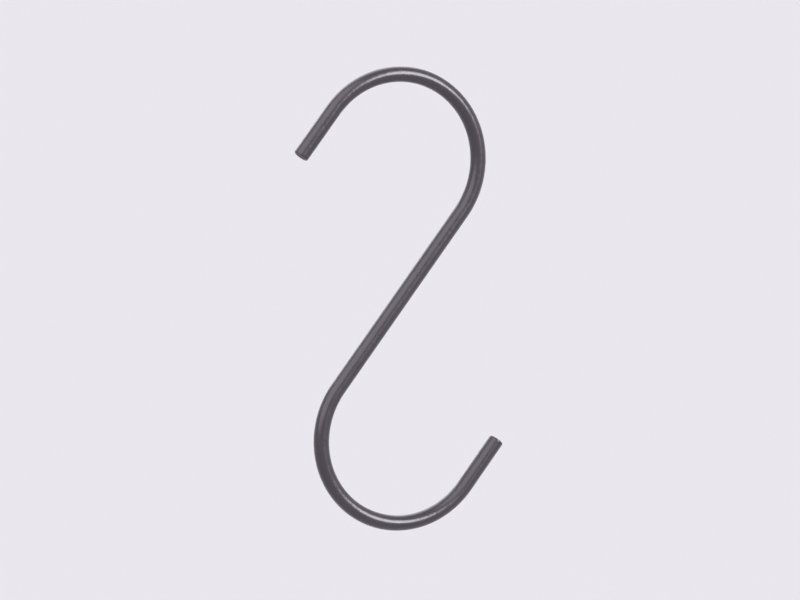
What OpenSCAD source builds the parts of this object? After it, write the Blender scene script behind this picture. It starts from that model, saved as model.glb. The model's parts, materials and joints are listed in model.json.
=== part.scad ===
// Hanging hook in the shape of an S, bent from one length of round wire.
// The hook hangs by its upper loop, and its lower loop carries the load.
// The wire lies in the XZ plane. The shank is the straight line that touches both loops and crosses
// between them, so the loops sit one above the other and the load hangs straight below the origin.
// The origin is the top of the upper loop's inner side, the point that the hook hangs by.

/* [Wire] */
// Diameter of the wire with its paint
wire_d = 3; // [2:0.1:4]
// Radius of the paint round the rim of each cut end
rim_r = 0.35; // [0.1:0.05:0.8]

/* [Loops] */
// Clear width inside the upper loop, which the hook hangs by
upper_loop_d = 30.5; // [20:0.5:34]
// Clear width inside the lower loop, which carries the load
lower_loop_d = 30.5; // [20:0.5:34]
// Degrees that the wire turns round the upper loop
upper_turn = 180; // [150:1:200]
// Degrees that the wire turns round the lower loop
lower_turn = 180; // [150:1:200]

/* [Lengths] */
// Overall height of the hook
overall_h = 90; // [84:1:160]
// Straight tail past the upper loop, up to its cut end
upper_tail = 11; // [4:0.5:20]
// Straight tail past the lower loop, up to its cut end
lower_tail = 11; // [4:0.5:20]

/* [Hidden] */
$fn = 96;

wire_r = wire_d / 2;
upper_r = (upper_loop_d + wire_d) / 2; // of the centreline, as is every radius and length below
lower_r = (lower_loop_d + wire_d) / 2;
centres_h = overall_h - wire_d - upper_r - lower_r; // from one loop's centre down to the other's
lean = asin((upper_r + lower_r) / centres_h); // of the shank from upright
shank_l = centres_h * cos(lean);

// The solids below start at the origin with the wire running up +Z. A bend turns towards +X.

// Straight wire, for as long as it is fed
module straight(length) {
    cylinder(r = wire_r, h = length);
}

// Straight wire that stops at a cut end, where the paint rounds the rim
module tail(length) {
    rotate_extrude() {
        square([wire_r, length - rim_r]);
        square([wire_r - rim_r, length]);
        translate([wire_r - rim_r, length - rim_r]) circle(rim_r);
    }
}

// Wire bent round a circular former, with its centreline at the radius given
module bend(radius, turn) {
    translate([radius, 0, 0])
        rotate([-90, 0, 0])
            rotate([0, 0, 180])
                rotate_extrude(angle = turn)
                    translate([radius, 0]) circle(wire_r);
}

// Carries its children to the far end of a bend, to run on from there
module past_bend(radius, turn) {
    translate([radius, 0, 0])
        rotate([0, turn, 0])
            translate([-radius, 0, 0]) children();
}

// A bend and the tail that it ends in: one of the hook's two ends
module hook_end(radius, turn, tail_l) {
    bend(radius, turn);
    past_bend(radius, turn) tail(tail_l);
}

// The whole wire, one solid. It is laid out with the shank upright, then leaned into place.
module s_hook() {
    color([0.07, 0.07, 0.075])
        translate([0, 0, wire_r - upper_r])
            rotate([0, lean, 0])
                translate([upper_r, 0, 0]) {
                    mirror([1, 0, 0]) hook_end(upper_r, upper_turn, upper_tail);
                    mirror([0, 0, 1]) {
                        straight(shank_l);
                        translate([0, 0, shank_l]) hook_end(lower_r, lower_turn, lower_tail);
                    }
                }
}

s_hook();
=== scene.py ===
# %% [markdown]
# # A painted wire S hook
# The real hook is one length of round steel wire. It is bent to a half circle at each end, cut off
# square, and painted black. The CAD model already holds its sizes, so it is loaded here as a fixed
# frame. This lesson wraps a finer wire round the same path, paints it, and lights it.

# %% Load the frame
import json
import math

import bpy
import bmesh
from mathutils import Euler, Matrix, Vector


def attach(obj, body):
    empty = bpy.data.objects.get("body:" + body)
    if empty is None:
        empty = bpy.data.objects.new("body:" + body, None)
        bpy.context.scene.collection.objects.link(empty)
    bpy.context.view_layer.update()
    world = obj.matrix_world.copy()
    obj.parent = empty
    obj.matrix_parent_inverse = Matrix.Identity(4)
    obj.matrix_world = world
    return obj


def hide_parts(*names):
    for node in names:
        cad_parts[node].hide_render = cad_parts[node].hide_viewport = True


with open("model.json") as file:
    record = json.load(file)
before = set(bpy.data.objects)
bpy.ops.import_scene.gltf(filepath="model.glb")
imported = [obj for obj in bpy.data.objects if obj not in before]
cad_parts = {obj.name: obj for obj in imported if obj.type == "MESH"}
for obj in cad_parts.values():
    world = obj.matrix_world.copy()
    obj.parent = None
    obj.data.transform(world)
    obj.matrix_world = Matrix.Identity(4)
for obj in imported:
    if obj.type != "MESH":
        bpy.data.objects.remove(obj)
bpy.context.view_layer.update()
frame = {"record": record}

# %% [markdown]
# ## Sizes from the frame
# The real hook is known by a few sizes, and they could be typed in here. They are read from the
# record instead, so that nothing is measured twice. It gives a free end as a mount, with the wire's
# radius and the length of its straight wall, and two seats: one that the hook hangs by and one for
# its load. The tails run parallel to the shank, so a mount's axis also gives the lean of the shank.
# The bend radius then follows from a triangle: the shank touches both loops, so the sine of its
# lean is twice the bend radius over the distance between the loops' centres.

# %% Read and work out the hook's sizes
MM = 0.001
RIM_R = 0.35 * MM  # of the paint round the rim of a cut end
BEND_ANGLE = math.pi  # of each end, a half circle

mounts = {mount["name"]: mount for mount in frame["record"]["mounts"]}
free_end = mounts["upper_tip"]
wire_r = free_end["dims"]["r_mm"] * MM
tail_l = free_end["dims"]["length_mm"] * MM + RIM_R
lean = math.asin(-free_end["axis"][0])

upper_seat = Vector(mounts["upper_seat"]["pos_m"])
lower_seat = Vector(mounts["lower_seat"]["pos_m"])
seats_h = upper_seat.z - lower_seat.z
bend_r = (seats_h + 2 * wire_r) / (2 + 2 / math.sin(lean))
centres_h = 2 * bend_r / math.sin(lean)
shank_l = centres_h * math.cos(lean)
overall_h = seats_h + 4 * wire_r
middle = (upper_seat + lower_seat) / 2
wire_l = shank_l + 2 * (bend_r * BEND_ANGLE + tail_l)

print(f"bend radius {bend_r / MM:.2f} mm, shank {shank_l / MM:.2f} mm")
print(f"the shank leans {math.degrees(lean):.2f} degrees from upright")
print(f"{wire_l / MM:.1f} mm of {2 * wire_r / MM:.1f} mm wire, {overall_h / MM:.0f} mm tall")

# %% [markdown]
# ## Arithmetic in a node tree
# Geometry Nodes can place every vertex by a formula, but a formula of Math nodes is hard to read.
# A small class helps: it holds a node's output and adds a Math node each time it meets an operator.
# The formula in the script then looks like the formula on paper.

# %% A node output that behaves like a number
class Field:
    """The output of a node, which adds a Math node for each operator used on it."""

    def __init__(self, tree, socket):
        self.tree = tree
        self.socket = socket

    def __add__(self, other):
        return math_node(self.tree, "ADD", self, other)

    def __sub__(self, other):
        return math_node(self.tree, "SUBTRACT", self, other)

    def __rsub__(self, other):
        return math_node(self.tree, "SUBTRACT", other, self)

    def __mul__(self, other):
        return math_node(self.tree, "MULTIPLY", self, other)

    def __truediv__(self, other):
        return math_node(self.tree, "DIVIDE", self, other)


def plug(tree, value, socket):
    """Feeds a socket from a field or another socket, or sets it to a plain value."""
    if isinstance(value, Field):
        value = value.socket
    if isinstance(value, bpy.types.NodeSocket):
        tree.links.new(value, socket)
    else:
        socket.default_value = value


def math_node(tree, operation, *values):
    """Adds one Math node and returns its result."""
    node = tree.nodes.new("ShaderNodeMath")
    node.operation = operation
    for value, socket in zip(values, node.inputs):
        plug(tree, value, socket)
    return Field(tree, node.outputs[0])


print("a Field can be added, subtracted, multiplied and divided")

# %% [markdown]
# ## Nodes in one line each
# Three more helpers keep the trees short. The first adds any node and fills its inputs by name. The
# others add a vector made of three numbers, and a noise texture, which serves the mesh and the
# paint alike.

# %% Helpers that add a node
def node_with(tree, kind, **values):
    """Adds a node and fills the inputs that are named, with a space written as an underscore."""
    node = tree.nodes.new(kind)
    for name, value in values.items():
        plug(tree, value, node.inputs[name.replace("_", " ")])
    return node


def vector_of(tree, x, y, z):
    """Joins three numbers to a vector."""
    return node_with(tree, "ShaderNodeCombineXYZ", X=x, Y=y, Z=z).outputs[0]


def noise_on(tree, vector, scale, detail):
    """Adds a noise texture on the vector given and returns its value."""
    return node_with(tree, "ShaderNodeTexNoise", Vector=vector, Scale=scale, Detail=detail).outputs[0]


print("helpers: node_with, vector_of and noise_on")

# %% [markdown]
# ## The wire as one wrapped grid
# A wire like this could be a curve with a round bevel. A bevel can't round the rim of a cut end or
# close it with a fine face, though. Here the wire starts as a flat grid instead. Each row becomes a
# ring round the wire, and a formula says how far along the wire that ring lies and how wide it is.
# The first rows spread out over the cut face, the next few turn over the rim, and the rest run on
# along the wire. The second half is the first half turned half round about the middle of the shank,
# so only one formula is needed.

# %% Rows and columns of the grid
AROUND = 64  # faces round the wire
FACE_ROWS = 7  # from the middle of a cut face out to its rim
RIM_ROWS = 8  # round the rim
RUN_ROWS = 190  # from a rim to the middle of the shank
HALF_ROWS = FACE_ROWS + RIM_ROWS + RUN_ROWS


def grid_rows(tree):
    """Makes the flat grid, and gives each vertex's row and its angle round the wire."""
    columns = AROUND + 1
    grid = node_with(tree, "GeometryNodeMeshGrid", Vertices_X=2 * HALF_ROWS + 1, Vertices_Y=columns)
    index = Field(tree, tree.nodes.new("GeometryNodeInputIndex").outputs[0])
    row = math_node(tree, "FLOOR", index / columns)
    angle = (index - row * columns) * (2 * math.pi / AROUND)
    return grid.outputs["Mesh"], row, angle


print(f"{2 * HALF_ROWS * AROUND} faces before the seam and the two ends are welded")

# %% [markdown]
# ## From row number to ring
# A cut end of the real wire is a flat face with a rounded rim of paint. To shape it, three clamped
# shares of the row number grow from 0 to 1 one after the other. Over the face only the ring's radius
# grows. Round the rim a sine and a cosine share out a quarter circle. Along the run only the
# distance from the end grows. Clamping the shares means that one sum holds for every row.

# %% Size and place the rings
def share_of(tree, step, first, rows):
    """Grows from 0 to 1 over the rows that follow the first one given."""
    share = math_node(tree, "DIVIDE", step - first, rows)
    share.socket.node.use_clamp = True
    return share


def ring_of(tree, step, wire_radius, rim_radius, half_wire):
    """Gives the share of the face that a row has covered, its ring's radius, and how far in it lies."""
    over_face = share_of(tree, step, 0, FACE_ROWS)
    over_rim = share_of(tree, step, FACE_ROWS, RIM_ROWS) * (math.pi / 2)
    over_run = share_of(tree, step, FACE_ROWS + RIM_ROWS, RUN_ROWS)
    ring_radius = (wire_radius - rim_radius) * over_face + rim_radius * math_node(tree, "SINE", over_rim)
    into_rim = rim_radius * (1 - math_node(tree, "COSINE", over_rim))
    from_end = into_rim + (half_wire - rim_radius) * over_run
    return over_face, ring_radius, from_end


print(f"{HALF_ROWS} rows from each cut end to the middle of the shank")

# %% [markdown]
# ## Round the bend
# The real wire is fed straight and bent round a former. A Curve to Mesh node could follow such a
# path, but then the path would need its own points and the rings would have to match them. Here the
# distance from the middle of the shank is cut up instead: so much lies on the shank, so much has
# turned round the bend, and the rest is left over for the tail.

# %% Bend the wire's centreline
def bent_line(tree, along, bend_radius, half_shank, bend_end):
    """Gives where the centreline has got to, and the sine and cosine of its turn."""
    on_shank = math_node(tree, "MINIMUM", along, half_shank)
    on_bend = math_node(tree, "MINIMUM", along, bend_end)
    turned = math_node(tree, "MAXIMUM", on_bend - half_shank, 0.0) / bend_radius
    on_tail = math_node(tree, "MAXIMUM", along - bend_end, 0.0)
    sine = math_node(tree, "SINE", turned)
    cosine = math_node(tree, "COSINE", turned)
    centre_x = bend_radius * (cosine - 1) - on_tail * sine
    centre_z = on_shank + bend_radius * sine + on_tail * cosine
    return centre_x, centre_z, sine, cosine


print(f"each bend uses up {bend_r * BEND_ANGLE / MM:.1f} mm of wire")

# %% [markdown]
# ## Two paints on one mesh
# The cut faces of the real hook look duller than its wire, so they get a duller paint. Face numbers
# could pick them out, but would be wrong as soon as a row is added. So the tree keeps each point's
# place on the straight wire as an attribute, and a face that lies nearer the axis there than the
# rim does is part of a cut. The paints read the same attribute, so their patterns follow the wire.

# %% Keep the straight place, and paint by it
ON_STRAIGHT = "straight_wire"  # the attribute that keeps each point's place before the bending


def store_place(tree, geometry, place):
    """Stores a place at each point of the geometry."""
    stored = tree.nodes.new("GeometryNodeStoreNamedAttribute")
    stored.data_type = "FLOAT_VECTOR"
    stored.domain = "POINT"
    plug(tree, geometry, stored.inputs["Geometry"])
    plug(tree, ON_STRAIGHT, stored.inputs["Name"])
    plug(tree, place, stored.inputs["Value"])
    return stored.outputs[0]


def paint_by_place(tree, geometry, face_radius, paint, cut_paint):
    """Paints the wire, and the faces that lay within a radius of its axis with the other paint."""
    straight = node_with(tree, "GeometryNodeInputNamedAttribute", Name=ON_STRAIGHT)
    straight.data_type = "FLOAT_VECTOR"
    across = node_with(tree, "ShaderNodeSeparateXYZ", Vector=straight.outputs["Attribute"])
    across_x, across_y = (Field(tree, across.outputs[axis]) for axis in "XY")
    from_axis = math_node(tree, "SQRT", across_x * across_x + across_y * across_y)
    is_cut = math_node(tree, "LESS_THAN", from_axis, face_radius)
    painted = node_with(tree, "GeometryNodeSetMaterial", Geometry=geometry, Material=paint)
    finished = node_with(tree, "GeometryNodeSetMaterial", Geometry=painted.outputs[0],
                         Selection=is_cut, Material=cut_paint)
    return finished.outputs[0]


print(f"a face within {(wire_r - RIM_R) / MM:.2f} mm of the axis is part of a cut")

# %% [markdown]
# ## Put the tree together
# The tree takes the hook's sizes and paints as named inputs. It turns each vertex's number into a
# row and an angle, and moves the vertex once, from the flat grid to the bent wire. Then it welds the
# seam and the two ends shut, leans the shank into place, and paints the faces. Formulas suit this
# shape, because a change of any size bends a new hook with no point to move by hand.

# %% Build the node tree
WIRE_INPUTS = {
    "Wire Radius": "NodeSocketFloat",
    "Rim Radius": "NodeSocketFloat",
    "Bend Radius": "NodeSocketFloat",
    "Bend Angle": "NodeSocketFloat",
    "Shank Length": "NodeSocketFloat",
    "Tail Length": "NodeSocketFloat",
    "Cut Relief": "NodeSocketFloat",
    "Lean": "NodeSocketRotation",
    "Middle": "NodeSocketVector",
    "Paint": "NodeSocketMaterial",
    "Cut Paint": "NodeSocketMaterial",
}
CUT_GRAIN = 2600.0  # noise cells a metre on the cut faces
CUT_DETAIL = 3.0  # finer layers on top of that noise
NOISE_MEAN = 0.5
WELD = 0.001 * MM


def bent_wire_tree():
    """Builds the tree that makes the whole wire from its sizes."""
    tree = bpy.data.node_groups.new("Bent wire", "GeometryNodeTree")
    tree.interface.new_socket("Geometry", in_out="OUTPUT", socket_type="NodeSocketGeometry")
    for name, kind in WIRE_INPUTS.items():
        tree.interface.new_socket(name, in_out="INPUT", socket_type=kind)
    sizes = tree.nodes.new("NodeGroupInput").outputs
    wire_radius = Field(tree, sizes["Wire Radius"])
    rim_radius = Field(tree, sizes["Rim Radius"])
    bend_radius = Field(tree, sizes["Bend Radius"])
    half_shank = Field(tree, sizes["Shank Length"]) / 2
    bend_end = half_shank + bend_radius * Field(tree, sizes["Bend Angle"])
    half_wire = bend_end + Field(tree, sizes["Tail Length"])

    grid, row, angle = grid_rows(tree)
    step = math_node(tree, "MINIMUM", row, 2 * HALF_ROWS - row)
    side = math_node(tree, "SIGN", HALF_ROWS - row)
    over_face, ring_radius, from_end = ring_of(tree, step, wire_radius, rim_radius, half_wire)
    ring_x = ring_radius * math_node(tree, "COSINE", angle)
    ring_y = ring_radius * math_node(tree, "SINE", angle)

    # A shear leaves the cut face a little uneven, most of all in the middle.
    on_cut = vector_of(tree, ring_x, ring_y, side * wire_radius)
    grain = noise_on(tree, on_cut, CUT_GRAIN, CUT_DETAIL)
    uneven = (Field(tree, grain) - NOISE_MEAN) * Field(tree, sizes["Cut Relief"])
    along = half_wire - from_end - math_node(tree, "ABSOLUTE", uneven * (1 - over_face))

    centre_x, centre_z, sine, cosine = bent_line(tree, along, bend_radius, half_shank, bend_end)
    place = vector_of(tree, side * centre_x + ring_x * cosine, ring_y, side * centre_z + ring_x * sine)
    wrapped = node_with(tree, "GeometryNodeSetPosition", Geometry=grid, Position=place)
    stored = store_place(tree, wrapped.outputs[0], vector_of(tree, ring_x, ring_y, side * along))

    welded = node_with(tree, "GeometryNodeMergeByDistance", Geometry=stored, Distance=WELD)
    leaned = node_with(tree, "GeometryNodeTransform", Geometry=welded.outputs[0],
                       Rotation=sizes["Lean"], Translation=sizes["Middle"])
    smooth = node_with(tree, "GeometryNodeSetShadeSmooth", Geometry=leaned.outputs[0])
    real = node_with(tree, "GeometryNodeRealizeInstances", Geometry=smooth.outputs[0])
    face_radius = wire_radius - rim_radius
    finished = paint_by_place(tree, real.outputs[0], face_radius, sizes["Paint"], sizes["Cut Paint"])
    output = tree.nodes.new("NodeGroupOutput")
    plug(tree, finished, output.inputs["Geometry"])
    return tree


wire_tree = bent_wire_tree()
print(f"the tree has {len(wire_tree.nodes)} nodes")

# %% [markdown]
# ## Black paint
# The real hook has a thin black paint that dries to a satin shine. One colour on a Principled
# shader would give that from across a room. Up close paint is never even: it dries with a faint
# orange peel, the lines that the drawing die left along the wire show through it, and its tone
# drifts from place to place. Those three are noise at three scales. They read the place on the
# straight wire, so they run round the bends with it. The shine has two layers, a dull enamel and a
# clear gloss coat over it, which give each lamp a wide soft streak with a crisp middle. The shear
# leaves a cut face rough, so the same function makes its paint duller, with no gloss coat.

# %% Choose the paint
PAINT_COLOR = (0.023, 0.016, 0.023)
PAINT_SHADES = 0.10  # how far the colour drifts to each side, as a share
PAINT_ROUGHNESS = (0.26, 0.36)  # lowest and highest
CUT_ROUGHNESS = (0.50, 0.66)
PAINT_IOR = 1.5
PAINT_SHINE = 0.40  # of the enamel below the gloss, where 0.5 is what its IOR gives
GLOSS = 0.70  # of the coat over the enamel
NO_GLOSS = 0.0
GLOSS_ROUGHNESS = 0.23

PEEL_CELLS = 900.0  # a metre
PEEL_DETAIL = 1.5
PEEL_HEIGHT = 0.034 * MM
DIE_CELLS = (3200.0, 3200.0, 45.0)  # a metre, across and along the wire
DIE_DETAIL = 2.0
DIE_HEIGHT = 0.016 * MM
DRIFT_CELLS = 160.0  # a metre
DRIFT_DETAIL = 3.0
NOISE_LOW = 0.3  # nearly all of a noise texture's values lie between these two
NOISE_HIGH = 0.7

print(f"the peel's cells are {1 / PEEL_CELLS / MM:.1f} mm across, on wire of {2 * wire_r / MM:.0f} mm")

# %% [markdown]
# ## Mix it
# The cuts have the wire's colour on rougher metal. Two materials built by hand could drift apart,
# so one function makes both, from a roughness and a share of gloss. The drift scales the colour,
# the peel sets the roughness, and the die's lines and the peel stack up as two bumps. The numbers
# that are the same all over go straight on the shader.

# %% Make the paint
def spread(tree, value, low, high):
    """Stretches the values of a noise texture to run from low to high."""
    node = node_with(tree, "ShaderNodeMapRange", Value=value, From_Min=NOISE_LOW, From_Max=NOISE_HIGH,
                     To_Min=low, To_Max=high)
    return node.outputs[0]


def bump_from(tree, height, distance, normal=None):
    """Adds a bump of the height given, in metres, on top of an earlier one if there is one."""
    node = node_with(tree, "ShaderNodeBump", Height=height, Distance=distance)
    if normal is not None:
        plug(tree, normal, node.inputs["Normal"])
    return node.outputs[0]


def enamel(name, roughness, gloss):
    """Makes a black enamel with the range of roughness given, under as much gloss coat as given."""
    material = bpy.data.materials.new(name)
    material.use_nodes = True
    tree = material.node_tree
    tree.nodes.clear()
    wire_place = tree.nodes.new("ShaderNodeAttribute")
    wire_place.attribute_name = ON_STRAIGHT
    place = wire_place.outputs["Vector"]

    drift = noise_on(tree, place, DRIFT_CELLS, DRIFT_DETAIL)
    tint = tree.nodes.new("ShaderNodeVectorMath")
    tint.operation = "SCALE"
    plug(tree, PAINT_COLOR, tint.inputs[0])
    plug(tree, spread(tree, drift, 1 - PAINT_SHADES, 1 + PAINT_SHADES), tint.inputs["Scale"])

    stretched = node_with(tree, "ShaderNodeMapping", Vector=place, Scale=DIE_CELLS)
    die_lines = noise_on(tree, stretched.outputs[0], scale=1.0, detail=DIE_DETAIL)
    peel = noise_on(tree, place, PEEL_CELLS, PEEL_DETAIL)
    relief = bump_from(tree, peel, PEEL_HEIGHT, bump_from(tree, die_lines, DIE_HEIGHT))

    shader = node_with(tree, "ShaderNodeBsdfPrincipled", Base_Color=tint.outputs[0], Normal=relief,
                       Roughness=spread(tree, peel, *roughness),
                       IOR=PAINT_IOR, Specular_IOR_Level=PAINT_SHINE,
                       Coat_Weight=gloss, Coat_Roughness=GLOSS_ROUGHNESS, Coat_Normal=relief)
    output = tree.nodes.new("ShaderNodeOutputMaterial")
    plug(tree, shader.outputs[0], output.inputs["Surface"])
    return material


wire_paint = enamel("black_enamel", PAINT_ROUGHNESS, GLOSS)
cut_paint = enamel("dull_enamel", CUT_ROUGHNESS, NO_GLOSS)
print(f"{wire_paint.name} and {cut_paint.name}: {len(wire_paint.node_tree.nodes)} nodes each")

# %% [markdown]
# ## Run the tree and keep plain mesh
# The tree could stay on the object as a live modifier. A plain mesh is safer to hand on, so it runs
# once. A modifier finds its inputs by their identifiers, and they are set before the object is first
# evaluated. The evaluated result is copied to a mesh, and the modifier goes. What is left is an
# ordinary object at the origin, with its place in its vertices.

# %% Make the wire
CUT_RELIEF = 0.35 * MM  # scales the noise, and leaves the cut faces less than 0.1 mm uneven

wire_values = {
    "Wire Radius": wire_r,
    "Rim Radius": RIM_R,
    "Bend Radius": bend_r,
    "Bend Angle": BEND_ANGLE,
    "Shank Length": shank_l,
    "Tail Length": tail_l,
    "Cut Relief": CUT_RELIEF,
    "Lean": Euler((0, lean, 0)),
    "Middle": middle,
    "Paint": wire_paint,
    "Cut Paint": cut_paint,
}


def make_wire(name):
    """Runs the tree once and returns the wire as an object with a plain mesh."""
    wire = bpy.data.objects.new(name, bpy.data.meshes.new(name))
    bpy.context.scene.collection.objects.link(wire)
    modifier = wire.modifiers.new("Bent wire", "NODES")
    modifier.node_group = wire_tree
    for item in wire_tree.interface.items_tree:
        if item.in_out == "INPUT":
            modifier[item.identifier] = wire_values[item.name]
    evaluated = wire.evaluated_get(bpy.context.evaluated_depsgraph_get())
    mesh = bpy.data.meshes.new_from_object(evaluated)
    wire.modifiers.clear()
    wire.data = mesh
    mesh.name = name
    mesh.materials.pop(index=0)  # the empty slot that comes with a new grid
    return wire


hook_wire = make_wire("hook_wire")
print(f"{len(hook_wire.data.vertices)} vertices, {len(hook_wire.data.polygons)} faces")
for slot, material in enumerate(hook_wire.data.materials):
    print(material.name, sum(face.material_index == slot for face in hook_wire.data.polygons), "faces")

# %% [markdown]
# ## Check the wrapping
# A grid can wrap inside out, and a seam can stay open. The face orientation overlay shows the first
# by eye, but not the second. So the script turns the faces outwards, counts the open edges, and
# compares the volume with that of plain round wire of this length.

# %% Turn the faces outwards
def turn_outwards(piece):
    """Makes every face point outwards, and returns the number of open edges and the volume."""
    shell = bmesh.new()
    shell.from_mesh(piece.data)
    bmesh.ops.recalc_face_normals(shell, faces=shell.faces)
    shell.to_mesh(piece.data)
    open_edges = sum(not edge.is_manifold for edge in shell.edges)
    volume = shell.calc_volume(signed=True)
    shell.free()
    return open_edges, volume


open_edges, wire_volume = turn_outwards(hook_wire)
plain_volume = math.pi * wire_r**2 * wire_l
print(f"{open_edges} open edges")
print(f"{wire_volume / MM**3:.1f} mm3, against {plain_volume / MM**3:.1f} mm3 of plain round wire")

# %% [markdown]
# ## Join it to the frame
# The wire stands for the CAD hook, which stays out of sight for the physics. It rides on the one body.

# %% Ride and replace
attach(hook_wire, "root")
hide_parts("s_hook")
print("hook_wire stands for s_hook")

# %% [markdown]
# ## Floor
# A hook like this hangs, so nothing stands under it. A wall behind it would show its edges from the
# side. So a pale matt floor lies a metre below it instead and runs far back, which gives an even
# ground from anywhere above. It is a neutral grey, and the light tints it.

# %% Lay the floor
FLOOR_DROP = 1.0  # from the lowest point of the hook
FLOOR_R = 30.0  # so far out that its edge is lost in the sky
FLOOR_SIDES = 96
FLOOR_GREY = 0.768


def lay_floor():
    """Makes a round matt floor under the hook."""
    matt = bpy.data.materials.new("pale_floor")
    matt.use_nodes = True
    shader = matt.node_tree.nodes["Principled BSDF"]
    shader.inputs["Base Color"].default_value = (FLOOR_GREY, FLOOR_GREY, FLOOR_GREY, 1.0)
    shader.inputs["Roughness"].default_value = 1.0
    shader.inputs["Specular IOR Level"].default_value = 0.0

    floor_z = middle.z - overall_h / 2 - FLOOR_DROP
    turns = [2 * math.pi * corner / FLOOR_SIDES for corner in range(FLOOR_SIDES)]
    edge = [(FLOOR_R * math.cos(turn), FLOOR_R * math.sin(turn), floor_z) for turn in turns]
    mesh = bpy.data.meshes.new("studio_floor")
    mesh.from_pydata(edge, [], [range(FLOOR_SIDES)])
    mesh.materials.append(matt)
    floor = bpy.data.objects.new("studio_floor", mesh)
    bpy.context.scene.collection.objects.link(floor)


lay_floor()
print(f"a floor {2 * FLOOR_R:.0f} m across, {FLOOR_DROP:.0f} m below the hook")

# %% [markdown]
# ## Sky
# The sky has the tone that the lit floor has, so no horizon shows from any side. It shares one faint
# lavender cast with the lamps. Light Path tells the world which rays have reached it. Rays from the
# camera, or from a glossy or clear surface, get the whole tone, and the rays that gather light for
# matt surfaces get a share of it, which leaves the shaping of the wire to the lamps.

# %% Light the sky
LIGHT_TONE = (1.025, 1.0, 1.067)  # red, green and blue of all the light, next to plain white
SKY_LEVEL = 0.806
SKY_FILL = 0.25  # share of it that lights matt surfaces


def light_sky():
    """Fills the world with the pale tone, weaker for matt surfaces."""
    world = bpy.data.worlds.new("studio_sky")
    world.use_nodes = True
    bpy.context.scene.world = world
    tree = world.node_tree
    rays = tree.nodes.new("ShaderNodeLightPath").outputs
    mirrored = math_node(tree, "MAXIMUM", rays["Is Glossy Ray"], rays["Is Transmission Ray"])
    seen = math_node(tree, "MAXIMUM", rays["Is Camera Ray"], mirrored)
    background = tree.nodes["Background"]
    sky_tone = [SKY_LEVEL * part for part in LIGHT_TONE]
    plug(tree, (*sky_tone, 1.0), background.inputs["Color"])
    plug(tree, seen * (1 - SKY_FILL) + SKY_FILL, background.inputs["Strength"])


light_sky()
print(f"the sky lights matt surfaces with {SKY_LEVEL * SKY_FILL:.2f} of white")

# %% [markdown]
# ## Lamps
# Dark gloss paint shows its lamps more than its own colour. A wide sun stands in for a large window
# far away: it lights the floor evenly, and it shows in the paint as a soft patch as wide as its
# angle. The window on the right makes the bright streak on each bend, where the wire runs level.
# The wider one on the left lifts the upper side of the shank and leaves its lower side dark. A weak
# one behind gives the upper edges a thin rim, and lights the hook for anyone who walks round it.

# %% Hang the lamps
# Angles are in degrees, and irradiance is in watts a square metre.
WINDOWS = {
    "right_window": {"azimuth": 30, "elevation": 20, "width": 36, "irradiance": 2.9},
    "left_window": {"azimuth": -60, "elevation": 38, "width": 74, "irradiance": 1.7},
    "back_window": {"azimuth": 175, "elevation": 42, "width": 60, "irradiance": 0.9},
}


def direction_to(azimuth, elevation):
    """Gives the direction from the hook, where azimuth 0 is its front, -Y, and 90 its right, +X."""
    around = math.radians(azimuth)
    up = math.radians(elevation)
    return Vector((math.sin(around) * math.cos(up), -math.cos(around) * math.cos(up), math.sin(up)))


def hang_lamp(name, azimuth, elevation, width, irradiance):
    """Adds a soft sun that shines from the direction given, as wide as the angle given."""
    light = bpy.data.lights.new(name, "SUN")
    light.angle = math.radians(width)
    light.energy = irradiance
    light.color = LIGHT_TONE
    lamp = bpy.data.objects.new(name, light)
    lamp.rotation_euler = direction_to(azimuth, elevation).to_track_quat("Z", "Y").to_euler()
    bpy.context.scene.collection.objects.link(lamp)


for window, settings in WINDOWS.items():
    hang_lamp(window, **settings)
print("lamps:", ", ".join(WINDOWS))

# %% [markdown]
# ## Camera
# The hook is seen from a little to its left and slightly above it, from so far away that its two
# loops come out nearly the same size. The lens is worked out from the distance, so that the hook
# takes up the share of the picture's height that is given here.

# %% Place the camera
# The angles, in degrees, and the distance come from fitting this shape to the photograph.
VIEW_AZIMUTH = -22.3
VIEW_ELEVATION = 7.5
VIEW_ROLL = -0.9
VIEW_DISTANCE = 48 * bend_r
PICTURE_ASPECT = 800 / 600
HOOK_SHARE = 0.78  # of the picture's height


def place_camera():
    """Places the camera at the photograph's viewing angle and frames the hook."""
    data = bpy.data.cameras.new("camera")
    picture_w = overall_h / HOOK_SHARE * PICTURE_ASPECT
    data.lens = data.sensor_width * VIEW_DISTANCE / picture_w
    camera = bpy.data.objects.new("camera", data)
    towards = direction_to(VIEW_AZIMUTH, VIEW_ELEVATION)
    camera.location = middle + VIEW_DISTANCE * towards
    facing = towards.to_track_quat("Z", "Y").to_euler().to_matrix()
    roll = Euler((0, 0, math.radians(VIEW_ROLL))).to_matrix()
    camera.rotation_euler = (facing @ roll).to_euler()
    bpy.context.scene.collection.objects.link(camera)
    bpy.context.scene.camera = camera
    return camera


camera = place_camera()
print(f"lens {camera.data.lens:.0f} mm at {VIEW_DISTANCE:.2f} m")

# %% [markdown]
# ## Colours as written
# The Standard view transform shows a colour as it is written.

# %% Finish
bpy.context.scene.view_settings.view_transform = "Standard"
